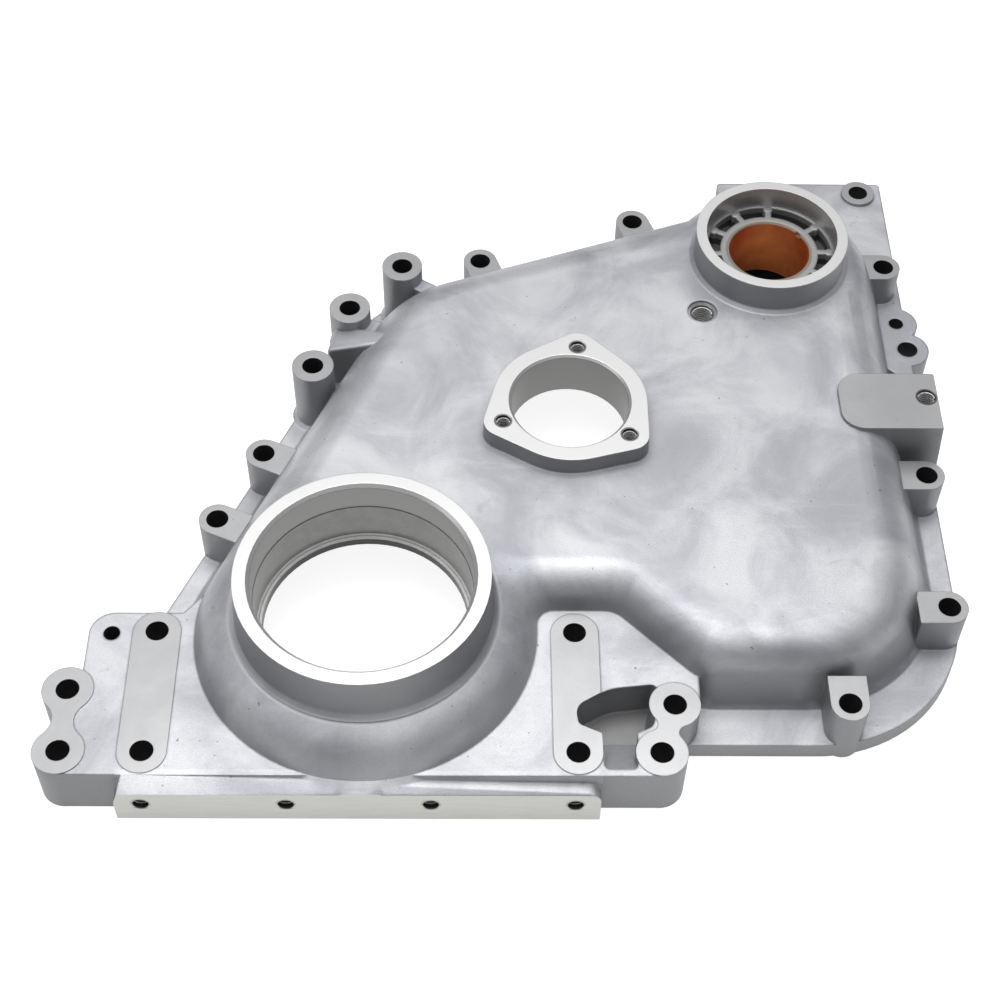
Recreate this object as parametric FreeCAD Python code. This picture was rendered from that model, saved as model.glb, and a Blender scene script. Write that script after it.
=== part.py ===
import FreeCAD, Part
import math
import os

# Timing gear cover of an engine, lying on its gasket face.
# Origin: crankshaft axis on the gasket face. X right, Y towards the top of the engine, Z outwards.
# All sizes in millimetres.

# Heights above the gasket face
FLANGE_T = 12.0
PLATE_T = 16.0
DECK_Z = 35.2
LAND_RISE = 0.8
BOSS_Z = 40.0
TALL_BOSS_Z = 58.0
BLOCK_Z = 63.0
DOME_Z = 60.0
DOME_BEND_Z = 41.7
CENTRE_Z = 72.5
DRIVE_RING_Z = 82.0
SEAL_RING_Z = 90.5
STRIP_Z = 26.0
CORNER_BOSS_Z = 19.0

# Shell
WALL = 6.0
SIDE_SLOPE = 67.0
FRONT_SLOPE = 82.0
FLARE_R = 107.2
SKIRT = 4.0
FLANGE_MARGIN = 13.0

# Crankshaft seal housing
SEAL_OUTER_R = 71.0
SEAL_FOOT_R = 72.6
SEAL_MOUTH_R = 63.5
SEAL_SEAT_R = 61.5
SEAL_LIP_R = 58.0
SEAL_CHAMFER = 2.0
SEAL_LIP_Z = 40.0
SEAL_LIP_T = 5.0
SEAL_TUBE_WALL = 6.0

# Accessory drive housing and its bush
DRIVE_X, DRIVE_Y = 251.0, 276.3
DRIVE_OUTER_R = 48.5
DRIVE_INNER_R = 41.75
DRIVE_POCKET_R = 40.4
DRIVE_FACE_Z = 66.5
DRIVE_POCKET_Z = 57.0
DRIVE_RIB_T = 4.0
DRIVE_RIB_ANGLES = [-34.0, -1.0, 35.0, 86.0, 119.0, 151.0, 184.0, 218.0, 252.0, 288.0]
DRIVE_DEEP_RIB = 2
COLLAR_R = 31.0
BUSH_R = 27.2
BUSH_BORE_R = 25.5
BUSH_Z = 24.0
BUSH_CHAMFER = 0.6
NOTCH_W = 4.0
NOTCH_DEPTH = 2.5
NOTCH_ANGLE = 38.0

# Centre flange
CENTRE_X, CENTRE_Y = 118.2, 142.3
CENTRE_BORE_R = 35.5
CENTRE_RIM_R = 46.5
CENTRE_LOBE_R = 11.7
CENTRE_PCD_R = 43.6
CENTRE_ANGLE = 82.5
CENTRE_TUBE_WALL = 6.0
CENTRE_TUBE_Z = 42.0
CENTRE_CHAMFER = 1.5

# Holes
BOLT_R = 6.5
DOWEL_R = 4.7
TAP_R = 4.3
TAP_DEPTH = 20.0
PLUG_R = 6.6
PLUG_RECESS_R = 9.3
PLUG_RECESS = 2.0
PLUG_X, PLUG_Y = 205.0, 228.5
BLOCK_TAP_R = 5.4

# Bosses on the flange
BOSS_R = 10.9
TALL_BOSS_R = 12.9
FOOT_FLARE = 2.6
BOSS_REACH = 18.0
CORNER_BOSS_R = 11.4
SCALLOP_R = 14.0

# Web and lug that tie the tall bosses to the shell
WEB_T = 10.0
WEB_Z = 48.0
WEB_REACH = 38.0
WEB_ANGLE = -32.0
LUG = [(-33.5, 206.0, 10.0), (40.0, 206.0, 0.0), (40.0, 223.0, 0.0), (-8.0, 236.0, 0.0), (-28.0, 236.0, 0.0)]
LUG_Z = 47.0
LUG_BEVEL = 4.0

# Crankshaft pads
SLOT_X = 118.4
SLOT_Y0, SLOT_Y1 = -79.0, -1.0
SLOT_R = 13.6
EAR_R = 14.4
EAR_WAIST = 6.0
LEFT_EARS = [(-163.7, -79.0), (-163.7, -40.0)]
RIGHT_EARS = [(164.0, -79.0), (172.8, -48.5)]
LEFT_DOWEL = (-144.0, -2.2)
PAD_LEFT_X = -157.0
PAD_TOP_Y = 12.0
PAD_FRONT_Y = -93.3
PAD_CORNER_R = 14.0
POCKET_FLOOR_Z = 9.0
CHUTE_Z = 33.0

# Oil pan face
PAN_Y = -100.5
PAN_X0, PAN_X1 = -134.0, 131.0
PAN_HOLE_X = [-119.2, -40.4, 38.4, 117.2]
PAN_HOLE_Z = 16.0
PAN_TAP_DEPTH = 12.0
PAN_WALL = 14.5
PAN_END_R = 8.0
PAN_BEVEL = 6.0

# Shoulder of the shell round the accessory drive
SHOULDER_R = 80.0
SHOULDER_SLOPE = 70.0
SHOULDER_BEND_Z = 48.2

# Corner of the shell beside the flare, so that its left side runs tangent to the flare
SHELL_LEFT = (-0.5, 265.1)
TANGENT_ANGLE = math.atan2(SHELL_LEFT[1], SHELL_LEFT[0]) + math.acos(FLARE_R / math.hypot(*SHELL_LEFT))
FLARE_CORNER_X = FLARE_R * (1 + math.sin(TANGENT_ANGLE)) / math.cos(TANGENT_ANGLE)

# Outline of the shell where it meets the flange: x, y, low corner radius, top corner radius.
# A corner with no top radius keeps one centre all the way up.
SHELL = [
    (FLARE_CORNER_X, -FLARE_R, FLARE_R, None),
    (FLARE_R, -FLARE_R, FLARE_R, None),
    (FLARE_R, 11.0, 8.0, 16.0),
    (140.3, 11.0, 10.0, 30.0),
    (186.8, -35.5, 26.0, 10.0),
    (331.0, -35.5, 83.0, 55.0),
    (331.0, 387.7, 78.0, 40.0),
    (*SHELL_LEFT, 90.0, 55.0),
]
SHELL_SLOPES = [SIDE_SLOPE, SIDE_SLOPE, FRONT_SLOPE, FRONT_SLOPE, FRONT_SLOPE,
                SIDE_SLOPE, SIDE_SLOPE, SIDE_SLOPE]

# Right and front edges of the flange, its sloped rim and the machined top end
FLANGE_RIGHT_X = 346.0
FLANGE_FRONT_Y = -60.3
FLANGE_CORNER_R = 91.0
RIM_W = 8.6
RIM_Z = 5.0
RIM_END_Y = 0.0
TOP_END_Y = 395.0
PLATE_LEFT_X = 231.0

# Boss places and the side that faces the shell, as an angle
D_BOSSES = [
    (-90.8, 76.0, -24.0), (-67.1, 126.3, -24.0),
    (63.9, 292.1, -70.0), (166.6, 330.4, -70.0),
    (331.4, 288.8, 180.0), (334.9, 112.0, 180.0), (334.1, 15.0, 180.0),
    (269.4, -49.9, 90.0),
]
TALL_BOSSES = [(-39.4, 181.8), (-18.8, 231.2), (13.4, 268.8)]
CORNER_BOLT = (329.4, 383.2)
SCALLOP_DOWEL = (340.3, 260.1)
SCALLOP_BOLT = (344.8, 237.0)

# Machined block on the right side
BLOCK_X0, BLOCK_X1 = 283.0, 343.3
BLOCK_Y0, BLOCK_Y1 = 129.7, 173.5
BLOCK_END_R = 14.0
BLOCK_DRAFT = 4.5
BLOCK_TAP = (336.4, 154.6)

EPS = 0.5


def vec(x, y, z=0.0):
    return FreeCAD.Vector(x, y, z)


def polar(cx, cy, r, degrees, z=0.0):
    a = math.radians(degrees)
    return vec(cx + r * math.cos(a), cy + r * math.sin(a), z)


# Closed outline of straight runs with rounded corners
def rounded_wire(points, z):
    count = len(points)
    starts, ends, mids = [], [], []
    for i, (x, y, r) in enumerate(points):
        here = vec(x, y, z)
        before = vec(points[i - 1][0], points[i - 1][1], z) - here
        after = vec(points[(i + 1) % count][0], points[(i + 1) % count][1], z) - here
        before.normalize()
        after.normalize()
        half = before.getAngle(after) / 2
        reach = r / math.tan(half)
        middle = before + after
        middle.normalize()
        starts.append(here + before * reach)
        ends.append(here + after * reach)
        mids.append(here + middle * (r / math.sin(half) - r))
    edges = []
    for i in range(count):
        if points[i][2] > 0:
            edges.append(Part.Arc(starts[i], mids[i], ends[i]).toShape())
        following = starts[(i + 1) % count]
        if ends[i].distanceToPoint(following) > 1e-3:
            edges.append(Part.LineSegment(ends[i], following).toShape())
    return Part.Wire(edges)


def prism(points, z0, z1):
    return Part.Face(rounded_wire(points, z0)).extrude(vec(0, 0, z1 - z0))


def cylinder(x, y, r, z0, z1):
    return Part.makeCylinder(r, z1 - z0, vec(x, y, z0))


def cone(x, y, r0, r1, z0, z1):
    return Part.makeCone(r0, r1, z1 - z0, vec(x, y, z0))


def ring(x, y, r_out, r_in, z0, z1):
    return cylinder(x, y, r_out, z0, z1).cut(cylinder(x, y, r_in, z0 - 1, z1 + 1))


# Body of revolution from a profile of (radius, height) points
def turned(x, y, profile):
    points = [vec(x + r, y, z) for r, z in profile]
    face = Part.Face(Part.makePolygon(points + [points[0]]))
    return face.revolve(vec(x, y, 0), vec(0, 0, 1), 360)


# A side leans in by its slope up to the bend, then rounds over to the top
def side_inset(slope, z, bend_z, top_z):
    s = math.radians(slope)
    if z <= bend_z:
        return max(0.0, z - FLANGE_T) / math.tan(s)
    radius = (top_z - bend_z) / (1 - math.cos(s))
    cos_a = min(1.0, math.cos(s) + (z - bend_z) / radius)
    lean = (bend_z - FLANGE_T) / math.tan(s)
    return lean + radius * (math.sin(s) - math.sqrt(1 - cos_a * cos_a))


# Levels up the side: flange, bend and steps round to the top
def side_levels(bend_z, top_z, steps):
    rounds = [bend_z + (top_z - bend_z) * math.sin(math.radians(90 * k / steps)) for k in range(1, steps)]
    return [FLANGE_T, bend_z] + rounds + [top_z]


# Outline of the shell with every side moved in by its own inset
def shell_outline(insets, share, extra_r):
    count = len(SHELL)
    lines = []
    for i in range(count):
        x0, y0 = SHELL[i][:2]
        x1, y1 = SHELL[(i + 1) % count][:2]
        length = math.hypot(x1 - x0, y1 - y0)
        ux, uy = (x1 - x0) / length, (y1 - y0) / length
        lines.append((x0 - uy * insets[i], y0 + ux * insets[i], ux, uy))
    outline = []
    for i in range(count):
        ax, ay, aux, auy = lines[i - 1]
        bx, by, bux, buy = lines[i]
        det = aux * buy - auy * bux
        t = ((bx - ax) * buy - (by - ay) * bux) / det
        low_r, top_r = SHELL[i][2:]
        turn = 1 if det > 0 else -1
        r = low_r - insets[i]
        if top_r is not None:
            r = low_r + (top_r - low_r) * share - turn * extra_r
        outline.append((ax + aux * t, ay + auy * t, max(r, 1.0)))
    return outline


def shell_section(z, bend_z, top_z, extra):
    insets = [side_inset(s, z, bend_z, top_z) + extra for s in SHELL_SLOPES]
    full = side_inset(SIDE_SLOPE, top_z, bend_z, top_z)
    share = side_inset(SIDE_SLOPE, z, bend_z, top_z) / full
    return rounded_wire(shell_outline(insets, share, extra), z)


# Domed shell body, or the space inside it when moved in by a wall
def shell_body(z0, bend_z, top_z, extra, steps):
    levels = side_levels(bend_z, top_z, steps)
    body = Part.makeLoft([shell_section(z, bend_z, top_z, extra) for z in levels], True, True)
    foot = rounded_wire(shell_outline([extra] * len(SHELL), 0.0, extra), z0)
    return body.fuse(Part.Face(foot).extrude(vec(0, 0, FLANGE_T - z0)))


# Soft foot where the shell meets the flange
def shell_skirt():
    wires = []
    for z, out in ((FLANGE_T, SKIRT / 2), (FLANGE_T + SKIRT, 0.0)):
        insets = [side_inset(s, z, DOME_BEND_Z, DOME_Z) - out for s in SHELL_SLOPES]
        wires.append(rounded_wire(shell_outline(insets, 0.0, -out), z))
    return Part.makeLoft(wires, True, True)


def flange_outline():
    outline = shell_outline([-FLANGE_MARGIN] * len(SHELL), 0.0, -FLANGE_MARGIN)
    low_left, back_left = outline[0], outline[7]
    slope = (SHELL[6][1] - SHELL[7][1]) / (SHELL[6][0] - SHELL[7][0])
    back_y = back_left[1] + slope * (PLATE_LEFT_X - back_left[0])
    share = (PAD_TOP_Y - low_left[1]) / (back_left[1] - low_left[1])
    left_x = low_left[0] + share * (back_left[0] - low_left[0])
    return [
        (left_x, PAD_TOP_Y - 20, 0.0), (RIGHT_EARS[1][0], FLANGE_FRONT_Y, 0.0),
        (FLANGE_RIGHT_X, FLANGE_FRONT_Y, FLANGE_CORNER_R), (FLANGE_RIGHT_X, TOP_END_Y, 3.0),
        (PLATE_LEFT_X, TOP_END_Y, 3.0), (PLATE_LEFT_X, back_y, 6.0), back_left,
        (left_x, PAD_TOP_Y, 0.0),
    ]


# What is cut off the flange to leave its rim sloped round the lower right corner
def rim_cut():
    def outline(inset, z):
        x0, x1, y0 = RIGHT_EARS[1][0], FLANGE_RIGHT_X - inset, FLANGE_FRONT_Y + inset
        return rounded_wire([(x0, y0, 0.0), (x1, y0, FLANGE_CORNER_R - inset), (x1, RIM_END_Y, 0.0),
                             (x0, RIM_END_Y, 0.0)], z)
    slab = Part.Face(outline(-1.0, RIM_Z)).extrude(vec(0, 0, FLANGE_T - RIM_Z + 1))
    grow = RIM_W / (FLANGE_T - RIM_Z)
    kept = Part.makeLoft([outline(-grow, RIM_Z - 1), outline(RIM_W + grow, FLANGE_T + 1)], True, True)
    return slab.cut(kept)


# Upper end of the flange, thicker and machined, with the two scallops beside it
def top_plate():
    plate = prism([(PLATE_LEFT_X, TOP_END_Y - 85, 2.0), (FLANGE_RIGHT_X, TOP_END_Y - 190, 2.0),
                   (FLANGE_RIGHT_X, TOP_END_Y, 3.0), (PLATE_LEFT_X, TOP_END_Y, 3.0)], 0, PLATE_T)
    scallops = [cylinder(x, y, SCALLOP_R, 0, PLATE_T) for x, y in (SCALLOP_DOWEL, SCALLOP_BOLT)]
    return [plate, cylinder(*CORNER_BOLT, CORNER_BOSS_R, 0, CORNER_BOSS_Z)] + scallops


# Boss with a half round outside and straight flanks that run into the shell
def d_boss(x, y, angle):
    a, b = polar(x, y, BOSS_R, angle + 90), polar(x, y, BOSS_R, angle - 90)
    out = polar(x, y, BOSS_R, angle + 180)
    step = polar(0, 0, BOSS_REACH, angle)
    wire = Part.Wire([Part.Arc(a, out, b).toShape(), Part.LineSegment(b, b + step).toShape(),
                      Part.LineSegment(b + step, a + step).toShape(), Part.LineSegment(a + step, a).toShape()])
    return Part.Face(wire).extrude(vec(0, 0, BOSS_Z))


def tall_boss(x, y):
    return [cylinder(x, y, TALL_BOSS_R, 0, TALL_BOSS_Z),
            cone(x, y, TALL_BOSS_R + FOOT_FLARE, TALL_BOSS_R, FLANGE_T, FLANGE_T + FOOT_FLARE)]


# Web from the upper tall boss into the shell
def boss_web():
    x, y = TALL_BOSSES[2]
    web = Part.makeBox(WEB_REACH, WEB_T, WEB_Z, vec(0, -WEB_T / 2, 0))
    web.rotate(vec(0, 0, 0), vec(0, 0, 1), WEB_ANGLE)
    web.translate(vec(x, y, 0))
    return web


# Bevelled lug that carries the middle tall boss
def boss_lug():
    lug = prism(LUG, 0, LUG_Z)
    rim = [e for e in lug.Edges if e.BoundBox.ZMin > LUG_Z - 0.01]
    return lug.makeChamfer(LUG_BEVEL, rim)


# Two round ends with a narrow waist between them
def dumbbell_wire(ends, r, waist, z):
    (x0, y0), (x1, y1) = ends
    span = math.hypot(x1 - x0, y1 - y0)
    cove = (waist ** 2 + span ** 2 / 4 - r ** 2) / (2 * (r - waist))
    aim = math.degrees(math.atan2(y1 - y0, x1 - x0))
    tilt = math.degrees(math.atan2(waist + cove, span / 2))
    mid_x, mid_y = (x0 + x1) / 2, (y0 + y1) / 2
    a, b = polar(x0, y0, r, aim + tilt, z), polar(x0, y0, r, aim - tilt, z)
    c, d = polar(x1, y1, r, aim + 180 + tilt, z), polar(x1, y1, r, aim + 180 - tilt, z)
    return Part.Wire([
        Part.Arc(a, polar(x0, y0, r, aim + 180, z), b).toShape(),
        Part.Arc(b, polar(mid_x, mid_y, waist, aim - 90, z), c).toShape(),
        Part.Arc(c, polar(x1, y1, r, aim, z), d).toShape(),
        Part.Arc(d, polar(mid_x, mid_y, waist, aim + 90, z), a).toShape()])


def ear_pair(ends):
    return Part.Face(dumbbell_wire(ends, EAR_R, EAR_WAIST, 0)).extrude(vec(0, 0, DECK_Z + LAND_RISE))


def slot_land(x):
    r = SLOT_R
    return prism([(x - r, SLOT_Y0 - r, r - 0.01), (x + r, SLOT_Y0 - r, r - 0.01),
                  (x + r, SLOT_Y1 + r - 0.6, r - 0.01), (x - r, SLOT_Y1 + r - 0.6, r - 0.01)],
                 DECK_Z - 1, DECK_Z + LAND_RISE)


# Thick deck round the crankshaft with its bolt lands
def crank_deck():
    right_x = RIGHT_EARS[0][0]
    deck = prism([
        (LEFT_EARS[0][0], PAD_FRONT_Y, 0.0), (right_x, PAD_FRONT_Y, 0.0),
        (right_x + 8, RIGHT_EARS[1][1], 4.0), (RIGHT_EARS[1][0] + EAR_R, RIGHT_EARS[1][1] + 4, 0.0),
        (RIGHT_EARS[1][0] + EAR_R, -20.0, 2.0), (140.0, 30.0, 0.0), (-90.0, 30.0, 0.0), (-105.0, PAD_TOP_Y, 0.0),
        (PAD_LEFT_X, PAD_TOP_Y, PAD_CORNER_R), (PAD_LEFT_X, LEFT_EARS[1][1] + EAR_R - 6, 6.0),
        (LEFT_EARS[1][0] - 4, LEFT_EARS[1][1] + 4, 0.0), (LEFT_EARS[1][0] + EAR_WAIST, LEFT_EARS[1][1] - 16, 4.0)],
        0, DECK_Z)
    lands = [slot_land(x) for x in (-SLOT_X, SLOT_X)]
    return [deck, ear_pair(LEFT_EARS), ear_pair(RIGHT_EARS)] + lands


# Machined oil pan face with the slope that leads up to the deck
def pan_strip():
    slope = Part.makePolygon([
        vec(0, PAN_Y, 0), vec(0, PAN_Y, STRIP_Z), vec(0, PAD_FRONT_Y, DECK_Z),
        vec(0, PAD_FRONT_Y + 12, DECK_Z), vec(0, PAD_FRONT_Y + 12, 0), vec(0, PAN_Y, 0)])
    wedge = Part.Face(slope).extrude(vec(PAN_X1 - PAN_X0, 0, 0))
    wedge.translate(vec(PAN_X0, 0, 0))
    face = rounded_wire([(PAN_X0, 0, 0.0), (PAN_X1, 0, 0.0), (PAN_X1, STRIP_Z + 1, PAN_END_R),
                         (PAN_X0 + PAN_BEVEL, DECK_Z, 0.0), (PAN_X0, STRIP_Z - PAN_BEVEL - 3, 0.0)], 0)
    frame = Part.Face(face).extrude(vec(0, 0, 40))
    frame.rotate(vec(0, 0, 0), vec(1, 0, 0), 90)
    frame.translate(vec(0, PAN_Y + 39, 0))
    return wedge.common(frame)


# Machined block on the right side, drafted at its outer end
def side_block():
    foot_x = BLOCK_X1 + BLOCK_DRAFT
    block = prism([(BLOCK_X0, BLOCK_Y0, BLOCK_END_R), (foot_x, BLOCK_Y0, 3.0), (foot_x, BLOCK_Y1, 7.0),
                   (BLOCK_X0, BLOCK_Y1, BLOCK_END_R)], 0, BLOCK_Z)
    draft = Part.makePolygon([vec(foot_x, BLOCK_Y0 - 1, 0), vec(BLOCK_X1, BLOCK_Y0 - 1, BLOCK_Z),
                              vec(foot_x + 1, BLOCK_Y0 - 1, BLOCK_Z), vec(foot_x, BLOCK_Y0 - 1, 0)])
    return block.cut(Part.Face(draft).extrude(vec(0, BLOCK_Y1 - BLOCK_Y0 + 2, 0)))


# Steeper round shoulder under the accessory drive, or the space inside it
def drive_shoulder(inside, steps):
    bend, top = SHOULDER_BEND_Z - inside * 0.4, DOME_Z - inside
    profile = [(SHOULDER_R - inside - side_inset(SHOULDER_SLOPE, z, bend, top), z)
               for z in side_levels(bend, top, steps)]
    return turned(DRIVE_X, DRIVE_Y, [(0, FLANGE_T)] + profile + [(0, top)])


def outer_body():
    parts = [prism(flange_outline(), 0, FLANGE_T).cut(rim_cut())]
    parts += top_plate()
    parts += [d_boss(*b) for b in D_BOSSES]
    for boss in TALL_BOSSES:
        parts += tall_boss(*boss)
    parts += [boss_web(), boss_lug(), side_block(), drive_shoulder(0, 3)]
    parts += crank_deck()
    parts += [pan_strip(), shell_skirt()]
    body = shell_body(0, DOME_BEND_Z, DOME_Z, 0.0, 4).fuse(parts)
    front = Part.makeBox(600, 100, 200, vec(-300, PAN_Y - 100, -10))
    return body.cut(front)


# Space inside the cover, open at the gasket face
def cavity():
    space = shell_body(-1, DOME_BEND_Z - WALL * 0.4, DOME_Z - WALL, WALL, 1)
    keep_front = Part.makeBox(600, 200, 200, vec(-300, PAN_Y + PAN_WALL - 200, -50))
    keep_pad = prism([(109.0, -95.0, 0.0), (200.0, -95.0, 0.0), (190.0, -30.0, 4.0), (143.0, 17.0, 4.0),
                      (109.0, 17.0, 4.0)], -5, 90)
    bosses = [cylinder(x, y, BOSS_R + 1, -5, 90) for x, y, _ in D_BOSSES]
    bosses += [cylinder(x, y, TALL_BOSS_R, -5, 90) for x, y in TALL_BOSSES]
    bosses += [cylinder(x, y, BOSS_R + 1, -5, 90) for x, y in (CORNER_BOLT, SCALLOP_DOWEL, SCALLOP_BOLT)]
    return space.fuse(drive_shoulder(WALL, 1)).cut([keep_front, keep_pad] + bosses)


# Seal housing: round wall above the shell, with the seat and lip inside it
def seal_housing():
    tube_r = SEAL_SEAT_R + SEAL_TUBE_WALL
    return turned(0, 0, [
        (SEAL_LIP_R, SEAL_LIP_Z), (tube_r, SEAL_LIP_Z), (tube_r, DOME_Z - WALL), (SEAL_FOOT_R + FOOT_FLARE, DOME_Z),
        (SEAL_FOOT_R, DOME_Z + FOOT_FLARE), (SEAL_OUTER_R, SEAL_RING_Z), (SEAL_MOUTH_R, SEAL_RING_Z),
        (SEAL_SEAT_R, SEAL_RING_Z - SEAL_CHAMFER), (SEAL_SEAT_R, SEAL_LIP_Z + SEAL_LIP_T),
        (SEAL_LIP_R, SEAL_LIP_Z + SEAL_LIP_T)])


# Accessory drive: outer wall, ribbed face and the tube that holds the bush
def drive_housing():
    x, y = DRIVE_X, DRIVE_Y
    foot_r = DRIVE_OUTER_R + FOOT_FLARE
    wall = turned(x, y, [
        (0, DOME_Z - WALL), (foot_r, DOME_Z - WALL), (foot_r, DOME_Z), (DRIVE_OUTER_R, DOME_Z + FOOT_FLARE),
        (DRIVE_OUTER_R, DRIVE_RING_Z), (DRIVE_INNER_R, DRIVE_RING_Z), (DRIVE_INNER_R, DRIVE_FACE_Z),
        (0, DRIVE_FACE_Z)])
    return [wall, cylinder(x, y, COLLAR_R, BUSH_Z, DOME_Z - WALL + EPS)]


def drive_pocket(start, end, floor_z):
    x, y = DRIVE_X, DRIVE_Y
    outer, inner = DRIVE_POCKET_R, COLLAR_R + 0.6
    lead_out = math.degrees(DRIVE_RIB_T / 2 / outer)
    lead_in = math.degrees(DRIVE_RIB_T / 2 / inner)
    a, b = polar(x, y, outer, start + lead_out, floor_z), polar(x, y, outer, end - lead_out, floor_z)
    c, d = polar(x, y, inner, end - lead_in, floor_z), polar(x, y, inner, start + lead_in, floor_z)
    middle = (start + end) / 2
    wire = Part.Wire([Part.Arc(a, polar(x, y, outer, middle, floor_z), b).toShape(),
                      Part.LineSegment(b, c).toShape(),
                      Part.Arc(c, polar(x, y, inner, middle, floor_z), d).toShape(),
                      Part.LineSegment(d, a).toShape()])
    return Part.Face(wire).extrude(vec(0, 0, DRIVE_FACE_Z + EPS - floor_z))


def drive_pockets():
    angles = DRIVE_RIB_ANGLES + [DRIVE_RIB_ANGLES[0] + 360]
    pockets = []
    for k, (start, end) in enumerate(zip(angles[:-1], angles[1:])):
        floor_z = DOME_Z - WALL - 1 if k == DRIVE_DEEP_RIB else DRIVE_POCKET_Z
        pockets.append(drive_pocket(start, end, floor_z))
    return pockets


# Round flange with three ears for the tapped holes
def centre_flange(z0, z1):
    x, y = CENTRE_X, CENTRE_Y
    lean = math.degrees(math.acos((CENTRE_RIM_R - CENTRE_LOBE_R) / CENTRE_PCD_R))
    edges = []
    for k in range(3):
        aim = CENTRE_ANGLE + 120 * k
        lobe = polar(x, y, CENTRE_PCD_R, aim, z0)
        a = polar(lobe.x, lobe.y, CENTRE_LOBE_R, aim - lean, z0)
        b = polar(lobe.x, lobe.y, CENTRE_LOBE_R, aim + lean, z0)
        c = polar(x, y, CENTRE_RIM_R, aim + lean, z0)
        d = polar(x, y, CENTRE_RIM_R, aim + 120 - lean, z0)
        e = polar(x, y, CENTRE_PCD_R, aim + 120, z0)
        f = polar(e.x, e.y, CENTRE_LOBE_R, aim + 120 - lean, z0)
        edges += [Part.Arc(a, polar(lobe.x, lobe.y, CENTRE_LOBE_R, aim, z0), b).toShape(),
                  Part.LineSegment(b, c).toShape(),
                  Part.Arc(c, polar(x, y, CENTRE_RIM_R, aim + 60, z0), d).toShape(),
                  Part.LineSegment(d, f).toShape()]
    return Part.Face(Part.Wire(edges)).extrude(vec(0, 0, z1 - z0))


def centre_tube():
    return cylinder(CENTRE_X, CENTRE_Y, CENTRE_BORE_R + CENTRE_TUBE_WALL, CENTRE_TUBE_Z, DOME_Z - 1)


def centre_cuts():
    x, y = CENTRE_X, CENTRE_Y
    cuts = [cylinder(x, y, CENTRE_BORE_R, -5, CENTRE_Z + 5),
            cone(x, y, CENTRE_BORE_R, CENTRE_BORE_R + CENTRE_CHAMFER, CENTRE_Z - CENTRE_CHAMFER, CENTRE_Z)]
    for k in range(3):
        p = polar(x, y, CENTRE_PCD_R, CENTRE_ANGLE + 120 * k)
        cuts.append(tapped(p.x, p.y, TAP_R, CENTRE_Z, CENTRE_Z - DOME_Z + WALL + EPS))
    return cuts


# Tapped hole drilled down from a face
def tapped(x, y, r, z, depth):
    return cylinder(x, y, r, z - depth, z + EPS)


def through_holes():
    cuts = [cylinder(x, y, BOLT_R, -5, 100) for x, y, _ in D_BOSSES]
    cuts += [cylinder(x, y, BOLT_R, -5, 100) for x, y in TALL_BOSSES + LEFT_EARS + RIGHT_EARS + [CORNER_BOLT, SCALLOP_BOLT]]
    cuts += [cylinder(x, y, BOLT_R, -5, 100) for x in (-SLOT_X, SLOT_X) for y in (SLOT_Y0, SLOT_Y1)]
    cuts += [cylinder(x, y, DOWEL_R, -5, 100) for x, y in (LEFT_DOWEL, SCALLOP_DOWEL)]
    return cuts


def pan_holes():
    return [Part.makeCylinder(TAP_R, PAN_TAP_DEPTH, vec(x, PAN_Y, PAN_HOLE_Z), vec(0, 1, 0)) for x in PAN_HOLE_X]


# Kidney shaped pocket in the right pad with the chute that runs to the front
def pad_pocket():
    top_z = DECK_Z + 5
    kidney = prism([(119.0, -61.0, 4.0), (117.6, -49.5, 9.0), (137.0, -37.8, 24.0), (164.5, -34.6, 4.0),
                    (160.5, -62.0, 6.0), (150.0, -67.0, 0.0), (132.0, -67.0, 0.0)], POCKET_FLOOR_Z, top_z)
    chute = prism([(132.5, -89.0, 3.0), (150.5, -89.0, 3.0), (151.5, -60.0, 0.0), (131.5, -60.0, 0.0)],
                  POCKET_FLOOR_Z, top_z)
    floor = Part.Face(Part.makePolygon([
        vec(120, -90, 0), vec(120, -90, CHUTE_Z), vec(120, -62, POCKET_FLOOR_Z + 6), vec(120, -58, 0),
        vec(120, -90, 0)])).extrude(vec(45, 0, 0))
    land = cylinder(SLOT_X, SLOT_Y0, EAR_R, 0, DECK_Z + LAND_RISE)
    return kidney.fuse(chute).cut([floor, ear_pair(RIGHT_EARS), land])


def plug_cuts():
    z = DOME_Z
    return [cylinder(PLUG_X, PLUG_Y, PLUG_RECESS_R, z - PLUG_RECESS, z + 5),
            cylinder(PLUG_X, PLUG_Y, PLUG_R, z - WALL - 15, z + 5)]


def plug_boss():
    return cylinder(PLUG_X, PLUG_Y, PLUG_RECESS_R + 3, DOME_Z - WALL - 8, DOME_Z - EPS)


def cover():
    seal_gap = cylinder(0, 0, SEAL_SEAT_R + SEAL_TUBE_WALL / 2, -5, DOME_Z + 5)
    body = outer_body().cut([cavity(), seal_gap])
    body = body.fuse([seal_housing(), centre_flange(DOME_Z - 1, CENTRE_Z), centre_tube(), plug_boss()] + drive_housing())
    cuts = [pad_pocket(), cylinder(DRIVE_X, DRIVE_Y, BUSH_R, -5, DRIVE_RING_Z + 5)]
    cuts += centre_cuts() + through_holes() + pan_holes() + plug_cuts() + drive_pockets()
    cuts.append(tapped(*BLOCK_TAP, BLOCK_TAP_R, BLOCK_Z, TAP_DEPTH))
    return body.cut(cuts).removeSplitter()


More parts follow.
